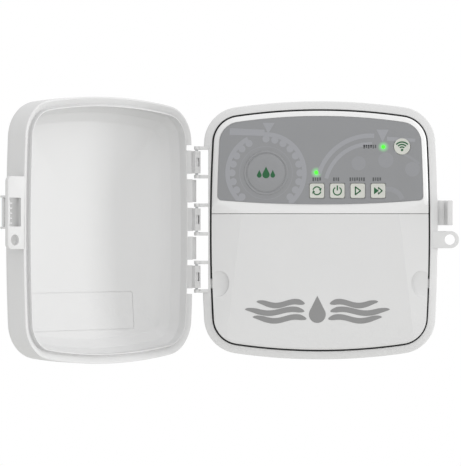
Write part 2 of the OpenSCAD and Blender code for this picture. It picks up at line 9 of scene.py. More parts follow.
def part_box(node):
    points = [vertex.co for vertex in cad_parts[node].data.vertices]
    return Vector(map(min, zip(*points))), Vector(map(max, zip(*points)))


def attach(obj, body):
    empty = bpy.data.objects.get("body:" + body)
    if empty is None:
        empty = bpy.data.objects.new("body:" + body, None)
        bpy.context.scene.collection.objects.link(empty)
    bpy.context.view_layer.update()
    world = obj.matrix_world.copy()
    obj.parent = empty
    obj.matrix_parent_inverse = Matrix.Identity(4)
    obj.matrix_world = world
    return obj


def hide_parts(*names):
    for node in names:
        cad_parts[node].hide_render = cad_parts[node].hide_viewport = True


# Outdoor irrigation controller: wall box with an open door, a control panel and a wiring bay.
# Sizes are in millimetres and are drawn facing the wall box: x to the right, y up, z out of the wall.

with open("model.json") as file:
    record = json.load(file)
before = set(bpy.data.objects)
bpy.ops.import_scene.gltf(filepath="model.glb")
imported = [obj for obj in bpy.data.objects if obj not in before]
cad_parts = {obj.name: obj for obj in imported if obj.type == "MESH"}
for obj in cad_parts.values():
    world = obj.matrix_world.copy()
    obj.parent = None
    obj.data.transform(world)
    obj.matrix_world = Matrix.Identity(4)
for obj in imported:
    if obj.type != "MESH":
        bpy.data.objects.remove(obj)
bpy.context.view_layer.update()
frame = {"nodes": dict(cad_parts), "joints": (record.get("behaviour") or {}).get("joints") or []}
mm = 0.001

print("stage: camera and studio")

camera = {"at": (-0.0693, -2.395, -0.0021), "lens": 232.6, "sensor": 36.0}

bpy.ops.object.camera_add(location=camera["at"], rotation=(math.pi / 2, 0, 0))
sceneCamera = bpy.context.object
sceneCamera.data.lens = camera["lens"]
sceneCamera.data.sensor_fit = "VERTICAL"
sceneCamera.data.sensor_height = camera["sensor"]
bpy.context.scene.camera = sceneCamera


# sRGB hex to the linear values that the nodes want
def linearColour(hexColour):
    values = [int(hexColour[i:i + 2], 16) / 255 for i in (1, 3, 5)]
    return [v / 12.92 if v <= 0.04045 else ((v + 0.055) / 1.055) ** 2.4 for v in values] + [1.0]


def deselectAll():
    if bpy.context.object and bpy.context.object.mode != "OBJECT":
        bpy.ops.object.mode_set(mode="OBJECT")
    bpy.ops.object.select_all(action="DESELECT")


def activate(*pieces):
    deselectAll()
    for piece in pieces:
        piece.select_set(True)
    bpy.context.view_layer.objects.active = pieces[0]


def place(x, y, z):
    return Vector((x, -z, y)) * mm


def bakePlace(piece, name):
    piece.name = name
    activate(piece)
    bpy.ops.object.transform_apply(location=True, rotation=True, scale=True)
    return piece


def join(name, pieces):
    activate(*pieces)
    if len(pieces) > 1:
        bpy.ops.object.join()
    pieces[0].name = name
    return pieces[0]


def boolean(piece, tools, operation="DIFFERENCE"):
    for tool in tools:
        modifier = piece.modifiers.new("shape", "BOOLEAN")
        modifier.operation = operation
        modifier.solver = "EXACT"
        modifier.object = tool
        activate(piece)
        bpy.ops.object.modifier_apply(modifier="shape")
        bpy.data.objects.remove(tool)
    return piece


def copyOf(piece, name):
    twin = piece.copy()
    twin.data = piece.data.copy()
    twin.name = name
    bpy.context.collection.objects.link(twin)
    return twin


def smooth(piece, degrees):
    activate(piece)
    bpy.ops.object.shade_smooth_by_angle(angle=math.radians(degrees))
    return piece


def softenEdges(piece, width):
    modifier = piece.modifiers.new("soften", "BEVEL")
    modifier.width = width * mm
    modifier.segments = 2
    modifier.limit_method = "ANGLE"
    modifier.angle_limit = math.radians(50)
    activate(piece)
    bpy.ops.object.modifier_apply(modifier="soften")
    return piece


def addBlock(name, low, high, rounding=0.0):
    low, high = Vector(low), Vector(high)
    deselectAll()
    bpy.ops.mesh.primitive_cube_add(size=1, location=place(*((low + high) / 2)))
    size = (high - low) * mm
    bpy.context.object.scale = (size.x, size.z, size.y)
    piece = bakePlace(bpy.context.object, name)
    if rounding:
        bpy.ops.object.mode_set(mode="EDIT")
        bpy.ops.mesh.select_all(action="SELECT")
        bpy.ops.mesh.bevel(offset=rounding * mm, segments=3, affect="EDGES")
        bpy.ops.object.mode_set(mode="OBJECT")
    return piece


def addBar(name, centre, radius, length, axis="up", rounding=0.0, vertices=48):
    turn = (0, 0, 0) if axis == "up" else (math.pi / 2, 0, 0)
    deselectAll()
    bpy.ops.mesh.primitive_cylinder_add(vertices=vertices, radius=radius * mm, depth=length * mm,
                                        location=place(*centre), rotation=turn)
    piece = bakePlace(bpy.context.object, name)
    if rounding:
        bpy.ops.object.mode_set(mode="EDIT")
        bpy.ops.mesh.select_mode(type="EDGE")
        bpy.ops.mesh.select_all(action="DESELECT")
        bpy.ops.mesh.edges_select_sharp(sharpness=math.radians(50))
        bpy.ops.mesh.bevel(offset=rounding * mm, segments=3, affect="EDGES")
        bpy.ops.mesh.select_mode(type="VERT")
        bpy.ops.object.mode_set(mode="OBJECT")
    return piece


# corners are (inset, z, radius); the radius rounds the corner
def softProfile(corners, steps=4):
    result = []
    for i, (inset, z, radius) in enumerate(corners):
        point = Vector((inset, z))
        if radius == 0:
            result.append(point)
            continue
        before = (Vector(corners[i - 1][:2]) - point).normalized()
        after = (Vector(corners[i + 1][:2]) - point).normalized()
        reach = radius / math.tan(before.angle(after) / 2)
        for s in range(steps + 1):
            t = s / steps
            result.append((point + before * reach) * (1 - t) ** 2 + 2 * point * t * (1 - t)
                          + (point + after * reach) * t * t)
    return result


# a loop of points is extruded through the profile's (inset, z) steps
def extrudeProfile(name, profile, pointsAt, capStart=True, capEnd=True):
    loop = pointsAt(profile[0][0])
    deselectAll()
    bpy.ops.mesh.primitive_circle_add(vertices=len(loop), radius=1, location=(0, 0, 0))
    piece = bpy.context.object
    piece.name = name
    for vertex, (x, y) in zip(piece.data.vertices, loop):
        vertex.co = place(x, y, profile[0][1])
    bpy.ops.object.mode_set(mode="EDIT")
    bpy.ops.mesh.select_all(action="SELECT")
    if capStart:
        bpy.ops.mesh.edge_face_add()
        bpy.ops.mesh.select_all(action="SELECT")
    key = lambda co: (round(co.x * 1e7), round(co.y * 1e7), round(co.z * 1e7))
    previous = {key(place(x, y, profile[0][1])): i for i, (x, y) in enumerate(loop)}
    for inset, z in profile[1:]:
        bpy.ops.mesh.extrude_edges_move()
        mesh = bmesh.from_edit_mesh(piece.data)
        loop = pointsAt(inset)
        current = {}
        for vertex in mesh.verts:
            if vertex.select:
                i = previous[key(vertex.co)]
                vertex.co = place(loop[i][0], loop[i][1], z)
                current[key(vertex.co)] = i
        bmesh.update_edit_mesh(piece.data)
        previous = current
    if capEnd:
        bpy.ops.mesh.edge_face_add()
    bpy.ops.mesh.select_all(action="SELECT")
    bpy.ops.mesh.remove_doubles(threshold=0.000001)
    bpy.ops.mesh.normals_make_consistent(inside=False)
    bpy.ops.object.mode_set(mode="OBJECT")
    return piece


# a flat printed or moulded shape with any outline
def addFlat(name, points, low, high):
    return extrudeProfile(name, [(0, low), (0, high)], lambda inset: points)


def circlePoints(centre, count):
    def pointsAt(radius):
        return [(centre[0] + radius * math.cos(2 * math.pi * i / count),
                 centre[1] + radius * math.sin(2 * math.pi * i / count)) for i in range(count)]
    return pointsAt


# the outline of a curved band between two angles in degrees
def arcBand(centre, inner, outer, start, end, steps=32):
    angles = [math.radians(start + (end - start) * i / steps) for i in range(steps + 1)]
    out = [(centre[0] + outer * math.cos(a), centre[1] + outer * math.sin(a)) for a in angles]
    back = [(centre[0] + inner * math.cos(a), centre[1] + inner * math.sin(a)) for a in reversed(angles)]
    return out + back


# a straight printed line as four points
def stroke(start, end, width):
    a, b = Vector(start), Vector(end)
    side = Vector((-(b - a).y, (b - a).x)).normalized() * width / 2
    return [tuple(a + side), tuple(a - side), tuple(b - side), tuple(b + side)]


box = {"faciaInset": 7.7, "ringWidth": 6.3, "ringLedge": 56.0, "tubInset": 5.2, "tubInner": 8.2,
       "backWall": 3.0, "topBulge": 457.0, "sideBulge": 1300.0, "cornerRadius": 28.0}
panelBox = [[v / mm for v in corner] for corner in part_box("facia_bezel")]
baseBox = [[v / mm for v in corner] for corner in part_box("enclosure_base")]
halfWide = panelBox[1][0] + box["faciaInset"]
halfHigh = panelBox[1][2] + box["faciaInset"]
panelTop = -panelBox[0][1]
ringTop = panelTop - 6.0


def cornerCentre():
    a = Vector((0, halfHigh - box["topBulge"]))
    b = Vector((halfWide - box["sideBulge"], 0))
    ra = box["topBulge"] - box["cornerRadius"]
    rb = box["sideBulge"] - box["cornerRadius"]
    d = (b - a).length
    along = (ra * ra - rb * rb + d * d) / (2 * d)
    up = math.sqrt(ra * ra - along * along)
    u = (b - a) / d
    return a + along * u + up * Vector((u.y, -u.x))


# upper right quarter from the side at lowY round to just before the top
def quarterPoints(inset, lowY=0.0):
    top = Vector((0, halfHigh - box["topBulge"]))
    side = Vector((halfWide - box["sideBulge"], 0))
    centre = cornerCentre()
    a0 = math.asin(lowY / (box["sideBulge"] - inset))
    a1 = math.atan2(centre.y - side.y, centre.x - side.x)
    a2 = math.atan2(centre.y - top.y, centre.x - top.x)
    points = []
    for middle, radius, start, end, steps in ((side, box["sideBulge"] - inset, a0, a1, 8),
                                              (centre, box["cornerRadius"] - inset, a1, a2, 14),
                                              (top, box["topBulge"] - inset, a2, math.pi / 2, 12)):
        for i in range(steps):
            a = start + (end - start) * i / steps
            points.append((middle.x + radius * math.cos(a), middle.y + radius * math.sin(a)))
    return points


# past 24 mm the loop is scaled towards the middle, so that a face can be domed
def outlinePoints(inset):
    if inset > 24:
        scale = 1 - (inset - 24) / 66
        return [(x * scale, y * scale) for x, y in outlinePoints(24)]
    q = quarterPoints(inset)
    top = [(0, halfHigh - inset)]
    left = [(-x, y) for x, y in reversed(q)]
    upper = q + top + left
    lower = [(-x, -y) for x, y in q[1:]] + [(0, inset - halfHigh)] + [(x, -y) for x, y in reversed(q[1:])]
    return upper + lower


label = {"inset": 12.0, "lowY": 20.1, "lowRadius": 940.0, "corner": 3.5}


# the label sheet: the shared outline above, a shallow arc below
def labelPoints(inset):
    radius = label["lowRadius"] - inset
    arcY = lambda x: label["lowY"] + label["lowRadius"] - math.sqrt(radius * radius - x * x)
    side = box["sideBulge"] - label["inset"] - inset
    sideX = lambda y: halfWide - box["sideBulge"] + math.sqrt(side ** 2 - y * y)
    y = label["lowY"] + 3
    for _ in range(4):
        y = arcY(sideX(y))
    x = sideX(y)
    c = label["corner"]
    corner, low, high = Vector((x, y)), Vector((x - c, arcY(x - c))), Vector((sideX(y + c), y + c))
    right = [(low.x * i / 16, arcY(low.x * i / 16)) for i in range(1, 16)]
    for i in range(7):
        t = i / 7
        right.append(tuple(low * (1 - t) ** 2 + 2 * corner * t * (1 - t) + high * t * t))
    right += quarterPoints(label["inset"] + inset, high.y)
    return ([(0, arcY(0))] + right + [(0, halfHigh - label["inset"] - inset)]
            + [(-px, py) for px, py in reversed(right)])


def addNode(tree, kind, settings=None, links=None):
    new = tree.nodes.new(kind)
    for name, value in (settings or {}).items():
        if isinstance(name, int) or name in new.inputs:
            new.inputs[name].default_value = value
        else:
            setattr(new, name, value)
    for name, source in (links or {}).items():
        tree.links.new(source, new.inputs[name])
    return new


# one moulded, printed or rolled finish: mottled colour, uneven gloss and a fine grain
def surface(name, hexColour, spec):
    material = bpy.data.materials.new(name)
    material.use_nodes = True
    tree = material.node_tree
    shader = tree.nodes["Principled BSDF"]
    place3d = addNode(tree, "ShaderNodeTexCoord").outputs["Object"]
    colour = linearColour(hexColour)
    shade = [c * (1 - spec.get("mottle", 0.03)) for c in colour[:3]] + [1.0]
    cloud = addNode(tree, "ShaderNodeTexNoise", {"Scale": 1000 / spec.get("cloudMm", 35), "Detail": 3.0},
                    {"Vector": place3d})
    tint = addNode(tree, "ShaderNodeValToRGB", links={"Fac": cloud.outputs["Fac"]})
    tint.color_ramp.elements[0].color = shade
    tint.color_ramp.elements[1].color = colour
    tree.links.new(tint.outputs["Color"], shader.inputs["Base Color"])
    rough = spec.get("roughness", 0.45)
    gloss = addNode(tree, "ShaderNodeMapRange", {"To Min": rough - 0.05, "To Max": rough + 0.06},
                    {"Value": cloud.outputs["Fac"]})
    tree.links.new(gloss.outputs["Result"], shader.inputs["Roughness"])
    grain = addNode(tree, "ShaderNodeTexNoise", {"Scale": 1000 / spec.get("grainMm", 0.8), "Detail": 2.0},
                    {"Vector": place3d})
    bump = addNode(tree, "ShaderNodeBump", {"Strength": spec.get("grain", 0.06), "Distance": 0.0002},
                   {"Height": grain.outputs["Fac"]})
    tree.links.new(bump.outputs["Normal"], shader.inputs["Normal"])
    shader.inputs["Metallic"].default_value = spec.get("metallic", 0.0)
    if "ior" in spec:
        shader.inputs["IOR"].default_value = spec["ior"]
    if "glow" in spec:
        shader.inputs["Emission Color"].default_value = linearColour(spec["glow"][0])
        shader.inputs["Emission Strength"].default_value = spec["glow"][1]
    return material


print("stage: materials")

finish = {
    # ABS, spark-eroded mould face: soft white with a satin sheen and faint flow clouds
    "case": surface("mouldedAbsCase", "#d0d0d0", {"roughness": 0.46, "ior": 1.53}),
    # ABS, polished mould face: brighter and a little glossier
    "panel": surface("mouldedAbsPanel", "#d9d9d9", {"roughness": 0.38, "ior": 1.53, "grain": 0.03}),
    # ABS, fine texture: even mid white
    "cover": surface("mouldedAbsCover", "#cecece", {"roughness": 0.42, "ior": 1.53}),
    # ABS with UV stabiliser: clean white, satin
    "door": surface("mouldedAbsDoor", "#c9c9c9", {"roughness": 0.6, "ior": 1.53, "grain": 0.04}),
    # Acetal: waxy white
    "latch": surface("mouldedAcetal", "#c8c8c8", {"roughness": 0.36, "ior": 1.48, "grain": 0.03}),
    # Screen-printed polycarbonate: fine matt grey film
    "print": surface("printedLighterGrey", "#939498", {"roughness": 0.5, "grain": 0.02, "mottle": 0.04}),
    "faint": surface("printedFaintGrey", "#8b8c8f", {"roughness": 0.5, "grain": 0.02, "mottle": 0.03}),
    "ink": surface("printedDarkInk", "#4d4f50", {"roughness": 0.5, "grain": 0.02}),
    # Embossed polycarbonate: the badge, same film as the label but domed
    "badge": surface("embossedPolycarbonate", "#868789", {"roughness": 0.4, "ior": 1.58, "grain": 0.02}),
    # Screen ink: deep leaf green
    "green": surface("printedGreenInk", "#0b552c", {"roughness": 0.45, "grain": 0.02}),
    # Silicone-backed ABS key: warm light grey
    "key": surface("mouldedKeycap", "#c3c4bd", {"roughness": 0.42, "grain": 0.03}),
    "keyRim": surface("mouldedKeyRim", "#e2e3de", {"roughness": 0.4, "grain": 0.03}),
    # Pad print: flat mid grey
    "padPrint": surface("padPrintedGrey", "#848484", {"roughness": 0.5, "grain": 0.03}),
    "board": surface("solderMaskedBoard", "#1c6b3c", {"roughness": 0.3, "ior": 1.55, "mottle": 0.18,
                                                      "cloudMm": 6}),
    "chip": surface("mouldedEpoxyPackage", "#242527", {"roughness": 0.55, "mottle": 0.15, "cloudMm": 3}),
    "led": surface("ledPackage", "#efeede", {"roughness": 0.3}),
    "shield": surface("tinnedSteelShield", "#c4c6c8", {"roughness": 0.3, "metallic": 1.0, "cloudMm": 5}),
    "sleeve": surface("shrunkSleeve", "#1d2336", {"roughness": 0.3, "mottle": 0.12, "cloudMm": 4}),
    "arrestor": surface("lacqueredCeramic", "#b98f3c", {"roughness": 0.28, "mottle": 0.12, "cloudMm": 3}),
    "terminal": surface("mouldedPolyamide", "#3a8a50", {"roughness": 0.48, "mottle": 0.08, "cloudMm": 8}),
    "zinc": surface("zincPlatedSteel", "#b8bab9", {"roughness": 0.32, "metallic": 1.0, "cloudMm": 2}),
    "core": surface("varnishedLaminations", "#4f5154", {"roughness": 0.45, "mottle": 0.2, "cloudMm": 4}),
    "coil": surface("tapedWinding", "#b99a4a", {"roughness": 0.35, "mottle": 0.12, "cloudMm": 5}),
    "mains": surface("mouldedNaturalPolyamide", "#e0dfd6", {"roughness": 0.5, "mottle": 0.05, "cloudMm": 8}),
    # dark rubber for the mains grommet; the same finish on the strip in the ring-to-panel gap is painted
    # shade
    "rubberAndGapShade": surface("mouldedRubberAndGapShade", "#2a2b2c", {"roughness": 0.7, "mottle": 0.12, "cloudMm": 6,
                                                   "grain": 0.12}),
    "plug": surface("mouldedPolyethylene", "#dadbdb", {"roughness": 0.5}),
    "pin": surface("stainlessPin", "#bfc1c2", {"roughness": 0.3, "metallic": 1.0, "cloudMm": 2}),
    # Acrylic light pipe, lit from behind
    "lens": surface("litAcrylic", "#4fc832", {"roughness": 0.2, "ior": 1.49, "grain": 0.0,
                                              "glow": ("#2fe81f", 0.85)}),
}

lensSpots = {}
for name in ("auto", "status"):
    low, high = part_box(name + "_lens")
    lensSpots[name] = ((low[0] + high[0]) / 2 / mm, (low[2] + high[2]) / 2 / mm)


# reach, strength and colour of the painted green glow on the label around each light pipe
paintedHalo = {"near": 0.0008, "far": 0.0052, "power": 0.6, "colour": "#3fd84a"}


# grey printed film with a painted green glow around each light pipe: emission standing in for the light that
# spills from them
def labelWithPaintedGlow():
    material = surface("screenPrintedFilmPaintedGlow", "#848587",
                       {"roughness": 0.48, "ior": 1.58, "grain": 0.02, "mottle": 0.035})
    tree = material.node_tree
    shader = tree.nodes["Principled BSDF"]
    place3d = addNode(tree, "ShaderNodeTexCoord").outputs["Object"]
    total = None
    for x, y in lensSpots.values():
        distance = addNode(tree, "ShaderNodeVectorMath", {"operation": "DISTANCE", 1: place(x, y, panelTop)},
                           {0: place3d})
        fall = addNode(tree, "ShaderNodeMapRange", {
            "interpolation_type": "SMOOTHERSTEP", "From Min": paintedHalo["near"], "From Max": paintedHalo["far"],
            "To Min": 1.0, "To Max": 0.0}, {"Value": distance.outputs["Value"]})
        if total is None:
            total = fall.outputs["Result"]
        else:
            total = addNode(tree, "ShaderNodeMath", {"operation": "MAXIMUM"},
                            {0: total, 1: fall.outputs["Result"]}).outputs["Value"]
    power = addNode(tree, "ShaderNodeMath", {"operation": "MULTIPLY", 1: paintedHalo["power"]}, {0: total})
    tree.links.new(power.outputs["Value"], shader.inputs["Emission Strength"])
    shader.inputs["Emission Color"].default_value = linearColour(paintedHalo["colour"])
    return material


finish["label"] = labelWithPaintedGlow()


# hands a finished piece to the frame
def give(piece, body, look, replaces=None, smoothing=35):
    piece.data.materials.clear()
    piece.data.materials.append(finish[look])
    if smoothing:
        smooth(piece, smoothing)
    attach(piece, body)
    if replaces:
        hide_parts(replaces)
    return piece


print("stage: wall box", [round(high - low, 1) for low, high in zip(*baseBox)], "mm in the CAD")

doorJoint = [j for j in frame["joints"] if j["name"] == "door_hinge"][0]
hinge = {"x": doorJoint["pos_m"][0] / mm, "z": -doorJoint["pos_m"][1] / mm, "topArm": 63.7, "pitch": 22.14,
         "arms": 6, "armT": 2.7, "armR": 2.1, "webDeep": 4.2, "knuckleR": 2.9, "knuckleH": 17.2,
         "relief": 5.0,
         "notchHalf": 2.1, "windowNear": 0.3, "windowFar": 4.0, "windowHalf": 3.3}
openAngle = math.radians(doorJoint["range_deg"][0])
armHeights = [hinge["topArm"] - i * hinge["pitch"] for i in range(hinge["arms"])]

ledge = box["ringLedge"]
caseShell = extrudeProfile("case_shell", softProfile([
    (60, 0, 0), (24, 0, 0), (box["tubInset"], 0, 2.0), (box["tubInset"], ledge, 0.8), (0.0, ledge, 0.8),
    (0.0, ringTop - 1.6, 1.3), (box["ringWidth"], ringTop, 0.45), (box["ringWidth"], ledge, 0.3),
    (box["tubInner"], ledge, 0.4), (box["tubInner"], box["backWall"], 1.5),
    (24, box["backWall"], 0), (60, box["backWall"], 0)]), outlinePoints)

entry = {"z": 30.0, "low": -95.0, "high": -86.0, "collar": 3.5,
         "conduit": (45, 14.0), "spare": (4, 11.0), "mains": (-50, 7.0)}
collars = []
for name in ("conduit", "spare", "mains"):
    x, radius = entry[name]
    middle = (entry["low"] + entry["high"]) / 2
    collars.append(addBar("collar", (x, middle, entry["z"]), radius + entry["collar"],
                          entry["high"] - entry["low"], rounding=0.6))
boolean(caseShell, collars, "UNION")

lug = {"out": 107.5, "low": -13.9, "high": 39.2, "padlockTop": -0.5, "padlock": (100.5, -7.2), "hole": 4.05,
       "t": 3.0, "corner": 4.0}
lugMid = (lug["low"] + lug["padlockTop"]) / 2
lugR = (lug["padlockTop"] - lug["low"]) / 2
lugEnd = lug["out"] + 0.2 - lugR
lugPoints = [(halfWide - 5, lug["low"]), (lugEnd, lug["low"])]
lugPoints += [(lugEnd + lugR * math.cos(a), lugMid + lugR * math.sin(a))
              for a in [math.radians(-90 + 180 * i / 20) for i in range(1, 20)]]
lugPoints += [(lugEnd, lug["padlockTop"]), (halfWide - 5, lug["padlockTop"])]
baseLug = softenEdges(addFlat("base_lug", lugPoints, ringTop - lug["t"], ringTop - 0.02), 0.4)
boolean(caseShell, [baseLug], "UNION")

wallHole = {"x": 66, "y": -30, "radius": 2.3}
keyhole = {"y": 68, "top": 77, "radius": 4.6, "slot": 2.3}
cuts = [addBlock("cut", (-halfWide - 2, armHeights[-1], ledge - 1),
                 (-halfWide + hinge["relief"], armHeights[0], ringTop + 1))]
for name in ("conduit", "spare", "mains"):
    x, radius = entry[name]
    cuts.append(addBar("cut", (x, entry["low"] + 5, entry["z"]), radius, 14))
cuts.append(addBar("cut", (lug["padlock"][0], lug["padlock"][1], ringTop), lug["hole"], 12, "out"))
for side in (-1, 1):
    cuts.append(addBar("cut", (side * wallHole["x"], wallHole["y"], 1), wallHole["radius"], 8, "out"))
cuts += [addBar("cut", (0, keyhole["y"], 1), keyhole["radius"], 8, "out"),
         addBlock("cut", (-keyhole["slot"], keyhole["y"], -2), (keyhole["slot"], keyhole["top"], 5)),
         addBar("cut", (0, keyhole["top"], 1), keyhole["slot"], 8, "out")]
boolean(caseShell, cuts)

post = {"at": (76, 4, 29), "radius": 4.0, "length": 54}
foot = {"x": -50, "y": -58, "z": 7, "across": 21, "up": 17, "radius": 4.0, "length": 9.8}
bosses = []
for side in (-1, 1):
    bosses.append(addBar("boss", (side * post["at"][0], *post["at"][1:]), post["radius"], post["length"],
                         "out",
                         rounding=0.3))
for sx in (-1, 1):
    for sy in (-1, 1):
        middle = (foot["x"] + sx * foot["across"], foot["y"] + sy * foot["up"], foot["z"])
        bosses.append(addBar("boss", middle, foot["radius"], foot["length"], "out", rounding=0.2))
caseShell = join("case_shell", [caseShell] + bosses)
give(caseShell, "enclosure", "case", "enclosure_base", 32)

# a dark strip fills the groove between the ring and the panel: painted shade standing in for the shade in the
# narrow gap
gapShadeSize = {"near": 6.35, "far": 7.65, "low": 56.3, "high": 63.0, "gapX": 88, "gapHalf": 6, "gapLow": -45.4,
            "gapHigh": -37.0}
gapShadeStrip = extrudeProfile("gap_shade_strip", softProfile([
    (gapShadeSize["near"], gapShadeSize["low"], 0), (gapShadeSize["near"], gapShadeSize["high"], 0.3),
    (gapShadeSize["far"], gapShadeSize["high"], 0.3), (gapShadeSize["far"], gapShadeSize["low"], 0)]), outlinePoints, False,
    False)
activate(gapShadeStrip)
bpy.ops.object.mode_set(mode="EDIT")
mesh = bmesh.from_edit_mesh(gapShadeStrip.data)
for edge in mesh.edges:
    edge.select = edge.is_boundary
bmesh.update_edit_mesh(gapShadeStrip.data)
bpy.ops.mesh.bridge_edge_loops()
bpy.ops.mesh.select_all(action="SELECT")
bpy.ops.mesh.normals_make_consistent(inside=False)
bpy.ops.object.mode_set(mode="OBJECT")
boolean(gapShadeStrip, [addBlock("cut", (side * gapShadeSize["gapX"] - gapShadeSize["gapHalf"], gapShadeSize["gapLow"], 50),
                        (side * gapShadeSize["gapX"] + gapShadeSize["gapHalf"], gapShadeSize["gapHigh"], 70))
               for side in (-1, 1)])
give(gapShadeStrip, "enclosure", "rubberAndGapShade")

print("stage: hinge arms and catch")

arms = []
for y in armHeights:
    barrel = addBar("arm", (hinge["x"], y, hinge["z"]), hinge["armR"], hinge["armT"], rounding=0.3,
                    vertices=32)
    web = addBlock("arm", (hinge["x"], y - hinge["armT"] / 2, hinge["z"] - hinge["webDeep"]),
                   (-halfWide + hinge["relief"] + 0.8, y + hinge["armT"] / 2, hinge["z"] - 0.05), 0.35)
    arms += [barrel, web]
give(join("hinge_arms", arms), "enclosure", "case")

catch = {"low": 3.9, "high": 23.2, "root": 57.0, "base": 60.8, "rib": (95.6, 96.3), "wall": 98.9,
         "wallEnd": 101.2,
         "lip": 98.2, "lipLow": 69.6, "out": 102.6, "top": 71.9}
catchParts = [
    addBlock("catch", (halfWide - 3, catch["low"], catch["root"]), (catch["wallEnd"], catch["high"],
                                                                    catch["base"]), 0.5),
    addBlock("catch", (catch["rib"][0], catch["low"] + 0.2, catch["base"] - 1),
             (catch["rib"][1], catch["high"] - 0.2, catch["base"] + 1.4), 0.3),
    addBlock("catch", (catch["wall"], catch["low"], catch["root"]),
             (catch["wallEnd"], catch["high"], catch["top"] - 0.2), 0.6),
    addBlock("catch", (catch["lip"], catch["low"], catch["lipLow"]), (catch["out"], catch["high"],
                                                                      catch["top"]), 0.9),
]
give(join("catch_hook", catchParts), "enclosure", "case")

print("stage: control panel")

panel = {"wall": 2.2, "splitY": 12.8, "splitGap": 0.2, "floor": panelTop - 0.8, "creaseRadius": 355.0,
         "creaseY": 14.3, "slope": 7.6, "facetHigh": 23.0, "posts": ((40, 74), (64, 22)),
         "postZ": 64, "postR": 3.2, "postLength": 11.6}
cover = {"halfTop": 60.8, "halfLow": 70.0, "drop": 4.0, "gripY": -41.2, "gripLength": 21.0, "gripWide": 12.0,
         "gripDeep": 2.7, "gripInset": 3, "gripSink": 1.9, "tab": (77, 85.1), "tabHalf": 3.6, "tabZ": (60.5,
                                                                                                       63.3)}
keys = ("auto", "off", "manual", "next")
keyHalf = 5.6
keySize = {"lipHalf": 6.7, "lip": (67.3, 68.5), "low": 67.5, "corner": 1.3, "edge": 0.32, "border": 0.75,
           "step": 0.15, "dish": 0.12}


def boxMiddle(node):
    low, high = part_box(node)
    return ((low[0] + high[0]) / 2 / mm, (low[2] + high[2]) / 2 / mm)


# trims a piece at a plane; what lies on the normal's side goes
def keepBeyond(piece, point, normal):
    activate(piece)
    bpy.ops.object.mode_set(mode="EDIT")
    bpy.ops.mesh.select_all(action="SELECT")
    bpy.ops.mesh.bisect(plane_co=place(*point), plane_no=Vector((normal[0], -normal[2], normal[1])),
                        use_fill=True, clear_outer=True)
    bpy.ops.object.mode_set(mode="OBJECT")
    return piece


def panelForm(depth):
    inset = box["faciaInset"] + depth
    top = panelTop - depth
    corners = [(85, top, 0), (60, top, 0), (24, top, 0), (inset + 3.9, top, 0), (inset + 1.0, top - 1.75,
                                                                                 0.9),
               (inset, top - 3.1, 0.7), (inset, ledge + 0.3 - depth, 0), (24, ledge + 0.3 - depth, 0),
               (60, ledge + 0.3 - depth, 0), (85, ledge + 0.3 - depth, 0)]
    form = extrudeProfile("panel_form", softProfile(corners), outlinePoints)
    keepBeyond(form, (0, panel["splitY"] + panel["splitGap"] + depth, 0), (0, -1, 0))
    # the lower corners fall away to meet the cover's slanted sides
    rise, reach = panel["facetHigh"] - panel["splitY"], halfWide - box["faciaInset"] - cover["halfTop"]
    sink = reach * cover["drop"] / (halfWide - box["faciaInset"] - (cover["halfTop"] + cover["halfLow"]) / 2)
    normal = Vector((reach, 0, -sink)).cross(Vector((reach, rise, 0))).normalized()
    for side in (1, -1):
        outward = Vector((side * normal.x, normal.y, normal.z))
        point = Vector((side * cover["halfTop"], panel["splitY"], panelTop)) - depth * outward
        keepBeyond(form, tuple(point), tuple(outward))
    return form


panelFrame = boolean(panelForm(0), [panelForm(panel["wall"])])
# a shallow scoop falls from a curved crease up to the label's lower edge
scoopDepth = 0.8
scoop = extrudeProfile("scoop", [
    (panel["creaseRadius"] + 0.2 / math.tan(math.radians(panel["slope"])), panelTop + 0.2),
    (panel["creaseRadius"] - scoopDepth / math.tan(math.radians(panel["slope"])), panelTop - scoopDepth)],
    circlePoints((0, panel["creaseY"] + panel["creaseRadius"]), 320))
boolean(scoop, [addBlock("limit", (-79.4, 10, 60), (79.4, 24.5, 80))], "INTERSECT")
pocket = extrudeProfile("pocket", [(-0.3, panel["floor"]), (-0.3, panelTop + 1)], labelPoints)
boolean(panelFrame, [scoop, pocket])
holes = []
for name in keys:
    x, y = boxMiddle(name + "_button")
    holes.append(addBlock("hole", (x - keyHalf - 0.3, y - keyHalf - 0.3, 60),
                          (x + keyHalf + 0.3, y + keyHalf + 0.3, 75), 1.0))
wifiAt = boxMiddle("wifi_button")
holes.append(addBar("hole", (*wifiAt, 68), 6.6, 16, "out"))
for x, y in lensSpots.values():
    holes.append(addBar("hole", (x, y, 68), 1.55, 16, "out"))
labelSheet = extrudeProfile("label_sheet", [
    (0, panelTop - 0.79), (0, panelTop - 0.28), (0.08, panelTop - 0.14), (0.25, panelTop - 0.1)], labelPoints)
boolean(labelSheet, [copyOf(hole, "hole") for hole in holes])
boolean(panelFrame, holes)
for side in (-1, 1):
    posts = [addBar("post", (side * x, y, panel["postZ"]), panel["postR"], panel["postLength"], "out")
             for x, y in panel["posts"]]
    panelFrame = join("panel_frame", [panelFrame] + posts)
give(panelFrame, "enclosure", "panel", "facia_bezel", 30)
give(labelSheet, "enclosure", "label", "facia_overlay", 30)

print("stage: badge and printing")

badgeAt = boxMiddle("badge_disc")
labelTop = panelTop - 0.1
printTop = labelTop + 0.04
badge = extrudeProfile("badge_disc_moulded", [
    (17.3, labelTop - 0.05), (17.0, labelTop + 0.3), (16.5, labelTop + 0.7), (16.0, labelTop + 0.72),
    (15.6, labelTop + 0.3), (15.2, labelTop + 0.05), (14.9, labelTop + 0.05), (14.5, labelTop + 0.6),
    (13.9, labelTop + 0.85), (8.0, labelTop + 1.0), (0.5, labelTop + 1.02)], circlePoints(badgeAt, 96))
give(badge, "enclosure", "badge", "badge_disc", 60)


